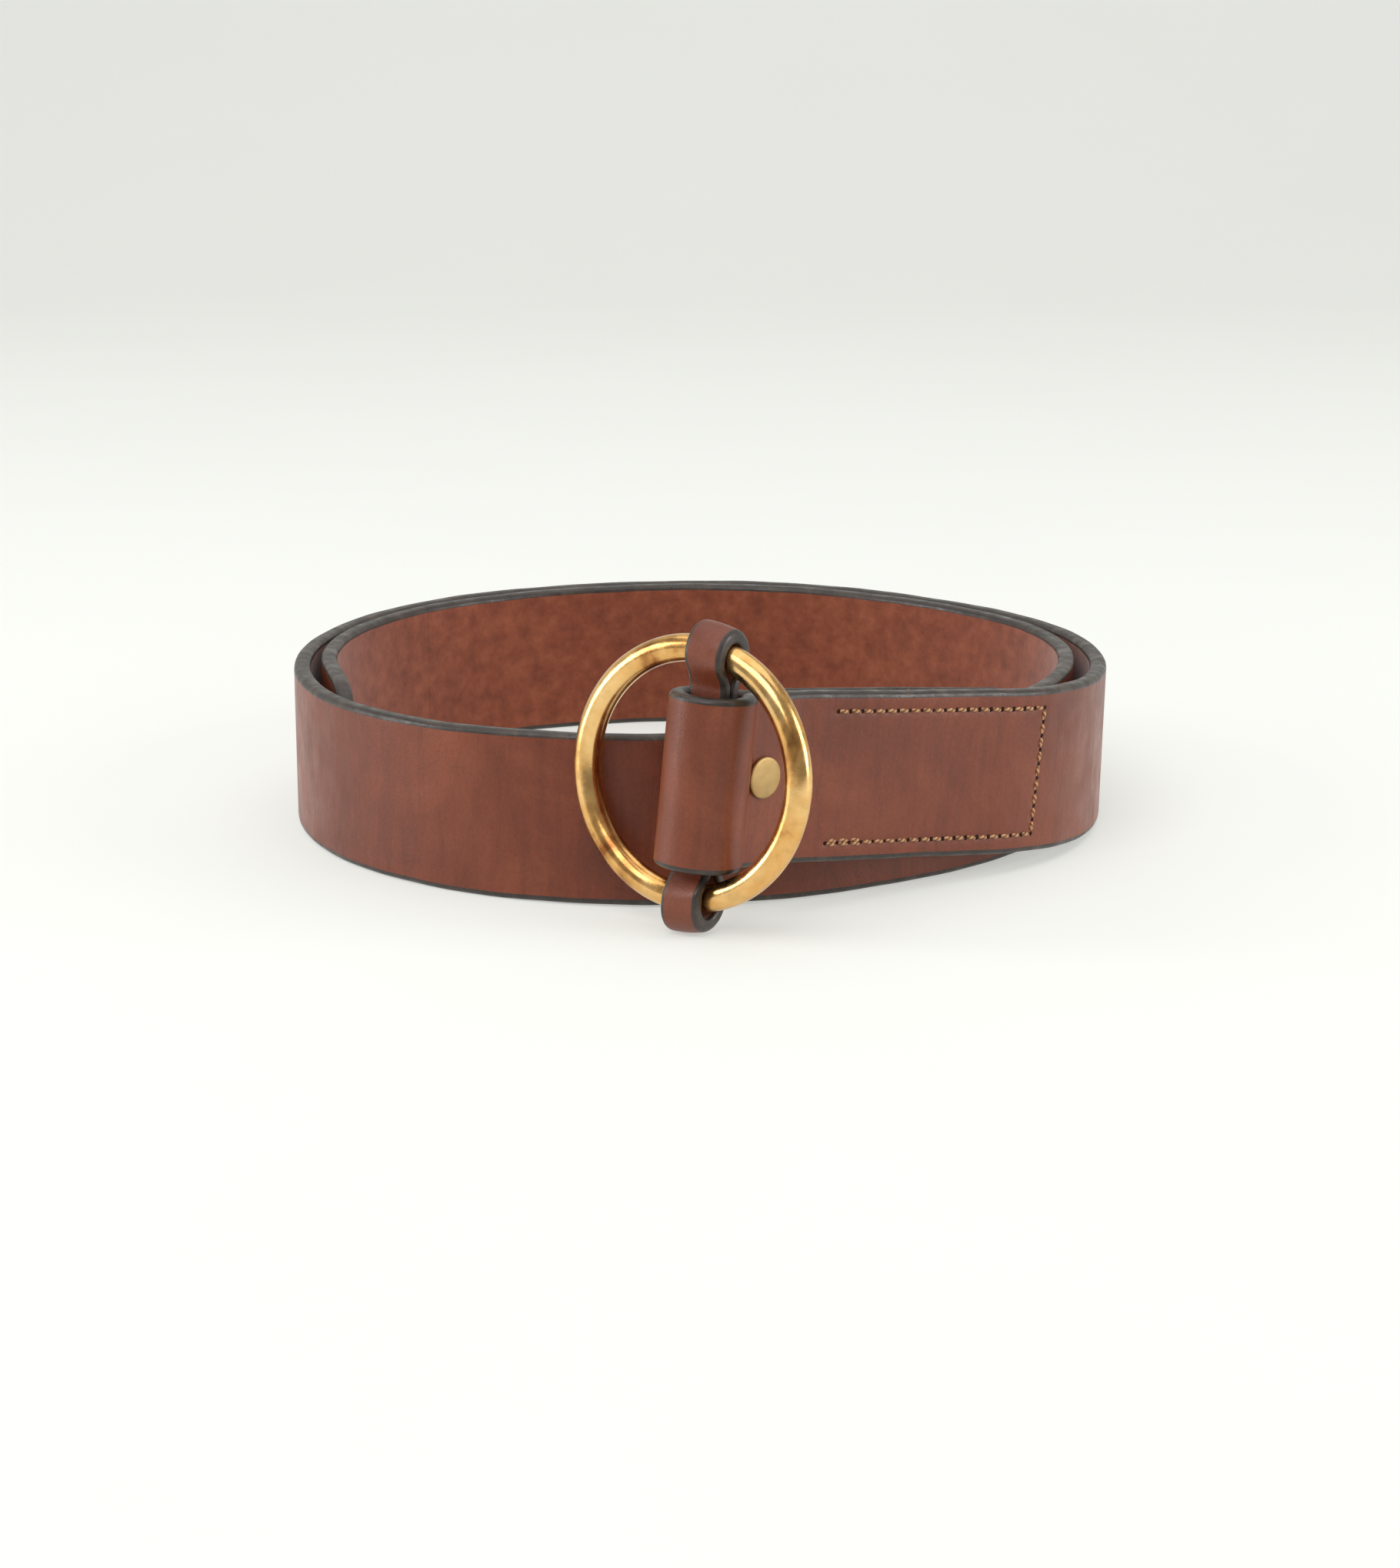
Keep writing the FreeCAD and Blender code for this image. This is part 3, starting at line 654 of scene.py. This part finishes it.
def make_tail_flex():
    stations = coil_stations(TAIL_FLEX_ANGLE - FLEX_BEFORE - 1.5, TAIL_FLEX_ANGLE, 0.75)
    s0 = stations[-1][5]
    onward = [(*tail_frame(s), HALF_WIDTH, HALF_THICKNESS, s0 + s)
              for s in spaced(0, TAIL_FLEX_AFTER + 2.4, 1.2)]
    everything = stations[:-1] + onward
    flex = strap_piece("strap_tail_flex", everything, (2, len(everything) - 2))
    start = coil_frame(TAIL_FLEX_ANGLE - FLEX_BEFORE + 1)[0] * MM
    end = tail_frame(TAIL_FLEX_AFTER - 1)[0] * MM
    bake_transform(flex)


def make_tail():
    length = TAIL_BEND_LENGTH + TAIL_STRAIGHT
    s0 = (TAIL_FLEX_ANGLE - BUCKLE_FLEX_ANGLE) * math.radians(1) * COIL_RADIUS
    places = list(spaced(TAIL_FLEX_AFTER - 2.4, length - TIP_LENGTH, 1.2))
    places += [length - TIP_LENGTH * math.cos(t) for t in np.linspace(0, math.pi / 2, 40)[1:-1]]
    places.append(length - 0.02)
    stations = []
    for s in places:
        into = max(s - (length - TIP_LENGTH), 0) / TIP_LENGTH
        half_width = max(HALF_WIDTH * (1 - into ** 2) ** TIP_FULLNESS, 0.3)
        left = min((length - s) / EDGE_ROUND, 1)
        thickness = HALF_THICKNESS - EDGE_ROUND + EDGE_ROUND * math.sqrt(max(1 - (1 - left) ** 2, 0))
        stations.append((*tail_frame(s), half_width, thickness, s0 + s))
    tail = strap_piece("strap_tail_leather", stations, (2, len(stations)))
    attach(tail, "tail")
    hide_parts("strap_tail")


def stitch_places():
    """The three-sided row of holes, as (distance along the strap, height across it)."""
    far = STITCH_START + STITCH_COUNT_LONG * STITCH_LENGTH
    across_step = 2 * STITCH_ROW_TOP / STITCH_COUNT_ACROSS
    holes = [(far - i * STITCH_LENGTH, STITCH_ROW_TOP) for i in range(STITCH_COUNT_LONG)]
    holes += [(STITCH_START, STITCH_ROW_TOP - i * across_step) for i in range(STITCH_COUNT_ACROSS)]
    holes += [(STITCH_START + i * STITCH_LENGTH, -STITCH_ROW_TOP) for i in range(STITCH_COUNT_LONG + 1)]
    return holes


HOLES = stitch_places()


def stitch_groove(s, w):
    """Depth of the furrow that the stitches pull in the leather."""
    far = STITCH_START + STITCH_COUNT_LONG * STITCH_LENGTH
    if s > far + 2:
        return 0.0
    if abs(w) > STITCH_ROW_TOP:
        away = abs(w) - STITCH_ROW_TOP
    else:
        away = min(STITCH_ROW_TOP - abs(w), abs(s - STITCH_START))
    if s < STITCH_START:
        away = math.hypot(max(abs(w) - STITCH_ROW_TOP, 0), s - STITCH_START)
    along = 0.75 + 0.25 * math.cos(2 * math.pi * (s - STITCH_START) / STITCH_LENGTH)
    return FURROW_DEPTH * along * math.exp(-(away / FURROW_SPREAD) ** 2)


def panel_shaping(s, w, n):
    if n > 0 and s < FLARE_END:
        return FACE_WANDER * ripple(s, w, 3.3) - stitch_groove(s, w)
    return 0.0


BEYOND_PANEL = 200.0     # added to the length round the fold, so that no furrow is pressed there


def make_buckle_end():
    stations = panel_stations(FLEX_AFTER - 1.2, MAIN_END, 0.6)
    s = MAIN_END
    last = None
    for (u, n), angle, half in fold_stations():
        centre = in_place(u, n, 0)
        outward = TO_BUCKLE * math.cos(angle) + OUT * math.sin(angle)
        s += 0.5 if last is None else np.linalg.norm(centre - last)
        last = centre
        stations.append((centre, ACROSS, outward, HALF_WIDTH, half, s + BEYOND_PANEL))
    for place in spaced(BACK_START, BACK_LAYER_END, 0.8):
        near, far = back_layer_offset(place)
        u, n = beside_main(place, -(near + far) / 2)
        heading = main_layer(place)[2]
        outward = TO_BUCKLE * math.sin(heading) - OUT * math.cos(heading)
        s += 0.8
        half = (far - near) / 2
        stations.append((in_place(u, n, 0), ACROSS, outward, HALF_WIDTH, half, s + BEYOND_PANEL))
    end = strap_piece("strap_buckle_leather", stations, (2, len(stations)), 58, panel_shaping)
    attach(end, "buckle_end")
    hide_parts("strap_buckle_end")


def make_seams():
    """The rough fibres that show between the two layers along both edges of the panel."""
    for name, side in (("seam_top", 1), ("seam_bottom", -1)):
        rows = []
        places = spaced(BACK_LAYER_END + 1, BACK_START - 1, 0.7)
        for i, s in enumerate(places):
            mid = -HALF_THICKNESS - LAYER_GAP / 2
            fuzz = 0.22 * math.sin(i * 1.9) + 0.18 * math.sin(i * 3.7 + 1)
            section = []
            for a in np.linspace(0, 2 * math.pi, 10, endpoint=False):
                outer = fuzz if math.cos(a) > 0 else 0
                w = side * (HALF_WIDTH - 1.0 + 0.42 * math.cos(a) + outer)
                n = mid + 0.75 * math.sin(a) * side
                section.append(in_place(*beside_main(s, n), w))
            rows.append(section)
        grid = np.array(rows)
        piece = grid_mesh(name, grid, places, [0] * 10, [SEAM])
        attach(piece, "buckle_end")


# ---- Stitching ----

def tube(points, radius, sides, frame_side):
    """Grid of a round tube along points; frame_side is any direction not along it."""
    points = np.array(points)
    along = unit(np.gradient(points, axis=0))
    side = unit(np.cross(along, frame_side))
    other = np.cross(along, side)
    angles = np.linspace(0, 2 * math.pi, sides, endpoint=False)
    radius = np.broadcast_to(radius, len(points))[:, None, None]
    cosines, sines = np.cos(angles)[None, :, None], np.sin(angles)[None, :, None]
    return points[:, None] + (side[:, None] * cosines + other[:, None] * sines) * radius


def joined(name, parts):
    """Several small meshes made into one object."""
    first = parts[0]
    with bpy.context.temp_override(active_object=first, selected_editable_objects=parts):
        bpy.ops.object.join()
    first.name = name
    return first


def face_point(s, w, face_distance):
    return in_place(*beside_main(s, face_distance(s)), w)


def make_stitches(name, node, face_distance, sign, slant):
    outward = OUT * sign
    parts = []
    runs = list(zip(HOLES, HOLES[1:]))
    doubled = runs[-BACK_TACKED:]
    for k, (here, there) in enumerate(runs + doubled):
        a, b = np.array(here), np.array(there)
        way = (b - a) / np.linalg.norm(b - a)
        across = np.array([-way[1], way[0]])
        shift = 0.0
        if k >= len(runs) - BACK_TACKED:
            shift = -0.25
        if k >= len(runs):
            shift = 0.55
        a, b = a + way * STITCH_GAP, b - way * STITCH_GAP
        points = []
        for t in np.linspace(0, 1, 9):
            s, w = a + (b - a) * t + across * (slant * (t - 0.5) + shift)
            rise = 0.5 * math.sin(math.pi * t) ** 0.6 - 0.38
            points.append(face_point(s, w, face_distance) + outward * rise)
        swell = STITCH_SWELL * (0.76 + 0.24 * np.sin(np.linspace(0, math.pi, 9)))
        grid = tube(points, swell, 10, outward)
        lengths = np.linspace(0, STITCH_LENGTH, 9) + k * STITCH_LENGTH
        parts.append(grid_mesh("stitch", grid, lengths, [0] * 10, [THREAD]))
    thread = joined(name, parts)
    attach(thread, "buckle_end")
    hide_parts(node)


def make_hole_shades(name, face_distance, sign):
    """The awl's slits between the stitches, as shallow near-black dishes whose colour is painted shade
    in the holes.
    """
    outward = OUT * sign
    parts = []
    for s, w in HOLES:
        centre = face_point(s, w, face_distance)
        rows = []
        for r, rise in ((0.04, 0.06), (0.3, 0.05), (0.5, 0.0), (0.56, -0.12)):
            ring = []
            for a in np.linspace(0, 2 * math.pi, 12, endpoint=False):
                ring.append(centre + outward * rise + TO_BUCKLE * (1.05 * r * math.cos(a)) * sign
                            + ACROSS * (1.3 * r * math.sin(a)))
            rows.append(ring)
        parts.append(grid_mesh("hole", np.array(rows), [0, 1, 2, 3], [0] * 12, [HOLE_SHADE]))
    holes = joined(name, parts)
    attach(holes, "buckle_end")


def front_face(_):
    """Distance from the leather's middle to where the front thread lies, alike all along."""
    return HALF_THICKNESS - THREAD_SINK


def back_face(s):
    """Distance from the leather's middle to the face that the back thread lies on."""
    if s < BACK_LAYER_END:
        return -HALF_THICKNESS
    return -back_layer_offset(s)[1]


# ---- Rivet ----

def lathe(name, profile, base, way, material, sides=64):
    """A turned piece: (radius, height) points about an axis."""
    side = unit(np.cross(way, UP))
    other = np.cross(way, side)
    rows = []
    for r, h in profile:
        rows.append([base + way * h + side * (r * math.cos(a)) + other * (r * math.sin(a))
                     for a in np.linspace(0, 2 * math.pi, sides, endpoint=False)])
    grid = np.array(rows)
    lengths = np.arange(len(profile)) * 0.5
    return grid_mesh(name, grid, lengths, [0] * sides, [material])


def make_rivet():
    u, n = beside_main(RIVET_AT, HALF_THICKNESS)
    way = OUT * math.cos(FLARE_TURN) - TO_BUCKLE * math.sin(FLARE_TURN)
    base = in_place(u, n, RIVET_RISE)
    r, h = RIVET_HEAD_RADIUS, RIVET_HEAD_HEIGHT + 0.05
    depth = HALF_THICKNESS + back_layer_offset(RIVET_AT)[1] + 1.1
    profile = [(1.5, -depth - 0.7), (2.3, -depth - 0.35), (2.4, -depth), (1.6, -depth), (1.6, 0.02),
               (r - 0.4, 0.02), (r - 0.1, 0.08), (r, 0.25), (r, h - 0.42), (r - 0.07, h - 0.24)]
    profile += [(r - 0.25, h - 0.11), (r - 0.55, h - 0.06), (r - 1.1, h - 0.02)]
    profile += [(r * 0.55, h + 0.03), (1.15, h + 0.05), (0.95, h + 0.02)]
    profile += [(0.7, h + 0.05), (0.05, h + 0.06)]
    rivet = lathe("rivet_turned", profile, base, way, RIVET_BRASS)
    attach(rivet, "buckle_end")
    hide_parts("rivet")


# ---- Link strap and ring ----

LINK_MIDDLE = in_place(*fold_centre(), LINK_RISE)
LEVEL_RIGHT = np.array([math.cos(LINK_YAW), math.sin(LINK_YAW), 0])
RIGHT = unit(LEVEL_RIGHT - ACROSS * LEVEL_RIGHT.dot(ACROSS))
FRONT = np.cross(RIGHT, ACROSS)
RING_CENTRE = LINK_MIDDLE + RIGHT * RING_OFFSET


def wire_height(a):
    return math.sqrt(RING_RADIUS ** 2 - (a - RING_OFFSET) ** 2)


def link_path(a, depth):
    """Points round the link's loop at a place across it, a depth out from its inner face."""
    top = wire_height(a)
    shoulder = top - LOOP_SHOULDER
    loop = LINK_TO_WIRE + depth
    swell = [(LINK_STRAIGHT, LINK_HALF_SLIT + depth), (shoulder, loop)]
    quarter = [(v, eased(swell, v)) for v in np.linspace(0, LINK_STRAIGHT, 14)[:-1]]
    quarter += [(v, eased(swell, v)) for v in np.linspace(LINK_STRAIGHT, shoulder, 16)[:-1]]
    quarter += [(shoulder + LOOP_SHOULDER * t, loop) for t in (0.0, 0.5)]

    def half(sag):
        turns = np.linspace(0, math.pi, 33)
        arc = [(top + sag + loop * math.sin(t), loop * math.cos(t)) for t in turns]
        return quarter + arc + [(v, -m) for v, m in quarter[:0:-1]]

    return half(0) + [(-v, -m) for v, m in half(LOOP_SAG)]


def make_link():
    r = LINK_EDGE_ROUND
    t, w = LINK_THICKNESS, LINK_HALF_WIDTH
    corner = [(math.sin(x) * r, math.cos(x) * r) for x in np.linspace(0, math.pi / 2, 6)]
    across = np.linspace(r - w, w - r, 9)
    profile = [(x, t) for x in across[:-1]]
    profile += [(w - r + x, t - r + y) for x, y in corner]
    profile += [(w - r + x, r - y) for x, y in corner[::-1]]
    profile += [(x, 0.0) for x in across[::-1][1:-1]]
    profile += [(r - w - x, r - y) for x, y in corner]
    profile += [(r - w - x, t - r + y) for x, y in corner[::-1][:-1]]
    edge = 2 * len(corner) - 1
    zones = [0] * 8 + [1] * edge + [2] * 8 + [1] * edge
    columns = []
    for a, depth in profile:
        side = LINK_MIDDLE + RIGHT * a
        columns.append([side + ACROSS * v + FRONT * m for v, m in link_path(a, depth)])
    grid = np.array(columns).transpose(1, 0, 2)
    middle = grid.mean(1)
    steps = np.linalg.norm(middle - np.roll(middle, -1, 0), axis=-1)
    lengths = np.concatenate([[0], np.cumsum(steps)])
    link = grid_mesh("link_leather", grid, lengths, zones, [LINK_GRAIN, EDGE, FLESH], True)
    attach(link, "link")
    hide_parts("link_strap")


def make_ring():
    """Round wire, very slightly uneven from years of wear."""
    rows = []
    for i in range(240):
        a = 2 * math.pi * i / 240
        way = RIGHT * math.cos(a) + ACROSS * math.sin(a)
        r = RING_WIRE_RADIUS * (1 + 0.004 * math.sin(5 * a + 1) + 0.003 * math.sin(11 * a))
        rows.append([RING_CENTRE + way * (RING_RADIUS + r * math.cos(b)) + FRONT * (r * math.sin(b))
                     for b in np.linspace(0, 2 * math.pi, 40, endpoint=False)])
    grid = np.array(rows)
    lengths = np.arange(241) * (2 * math.pi * RING_RADIUS / 240)
    ring = grid_mesh("ring_wire", grid, lengths, [0] * 40, [RING_BRASS], True)
    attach(ring, "ring")
    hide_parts("ring")


def paint_burr():
    """The burr keeps its CAD shape and only takes a material."""
    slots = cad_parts["burr"].data.materials
    slots.clear()
    slots.append(RIVET_BRASS)


# ---- Floor, lights and camera ----

BACKDROP = (0.888, 0.896, 0.855, 1)
CAMERA_LENS = 76.02
CAMERA_PLACE = (0, -0.7806, 0.2043)
CAMERA_PITCH = 14.087   # degrees below level


def make_stage():
    profile = [(-6.0, 0.0), (1.2, 0.0)]
    profile += [(1.2 + 0.8 * math.sin(a), 0.8 - 0.8 * math.cos(a)) for a in np.linspace(0, 1.2, 14)[1:]]
    y, z = profile[-1]
    profile.append((y + 1.2, z + 3.1))
    verts, faces = [], []
    for y, z in profile:
        verts += [(-6, y, z), (6, y, z)]
    for i in range(len(profile) - 1):
        faces.append((2 * i, 2 * i + 1, 2 * i + 3, 2 * i + 2))
    mesh = bpy.data.meshes.new("floor")
    mesh.from_pydata(verts, [], faces)
    mesh.polygons.foreach_set("use_smooth", [True] * len(faces))
    floor = bpy.data.objects.new("floor", mesh)
    bpy.context.scene.collection.objects.link(floor)
    m = Shader("floor_paper", Roughness=0.95, Specular_IOR_Level=0.1)
    m.main.inputs["Emission Color"].default_value = BACKDROP
    m.main.inputs["Emission Strength"].default_value = 0.5
    m.colour(m.ramp(m.noise(8.0), [(0.3, (0.44, 0.445, 0.425)), (0.7, (0.45, 0.455, 0.435))]))
    mesh.materials.append(m.material)


def area_light(name, place, target, size, power, colour=(1, 1, 1)):
    light = bpy.data.lights.new(name, "AREA")
    light.shape = "RECTANGLE"
    light.size, light.size_y = size
    light.energy = power
    light.color = colour
    obj = bpy.data.objects.new(name, light)
    bpy.context.scene.collection.objects.link(obj)
    obj.location = place
    way = np.array(target, float) - np.array(place, float)
    obj.rotation_euler = Vector(way).to_track_quat("-Z", "Y").to_euler()


def make_lights():
    middle = (0, 0.01, 0.03)
    area_light("key", (-0.45, -0.95, 1.15), middle, (1.1, 0.8), 9)
    area_light("left", (-1.2, -0.1, 0.4), middle, (0.5, 0.8), 7)
    area_light("right", (1.2, -0.25, 0.45), middle, (0.5, 0.8), 8)
    area_light("top", (0, 0.2, 1.4), middle, (1.8, 1.4), 9)
    world = bpy.data.worlds.new("studio")
    world.use_nodes = True
    tree = world.node_tree
    lit = tree.nodes["Background"]
    lit.inputs["Color"].default_value = (1.0, 1.0, 0.98, 1)
    lit.inputs["Strength"].default_value = 0.35
    seen = tree.nodes.new("ShaderNodeBackground")
    seen.inputs["Color"].default_value = BACKDROP
    rays = tree.nodes.new("ShaderNodeLightPath")
    chosen = tree.nodes.new("ShaderNodeMixShader")
    tree.links.new(rays.outputs["Is Camera Ray"], chosen.inputs["Fac"])
    tree.links.new(lit.outputs[0], chosen.inputs[1])
    tree.links.new(seen.outputs[0], chosen.inputs[2])
    tree.links.new(chosen.outputs[0], tree.nodes["World Output"].inputs["Surface"])
    bpy.context.scene.world = world
    bpy.context.scene.view_settings.view_transform = "Standard"


def make_camera():
    data = bpy.data.cameras.new("camera")
    data.sensor_width = 36.0
    data.lens = CAMERA_LENS
    camera = bpy.data.objects.new("camera", data)
    bpy.context.scene.collection.objects.link(camera)
    camera.location = CAMERA_PLACE
    camera.rotation_euler = (math.radians(90 - CAMERA_PITCH), 0, 0)
    bpy.context.scene.camera = camera


make_coil()
make_buckle_flex()
make_tail_flex()
make_tail()
make_buckle_end()
make_seams()
make_stitches("needle_stitches", "needle_thread", front_face, 1, 0.3)
make_stitches("bobbin_stitches", "bobbin_thread", back_face, -1, 0.2)
make_hole_shades("awl_hole_shades_front", front_face, 1)
make_rivet()
make_link()
make_ring()
paint_burr()
make_stage()
make_lights()
make_camera()
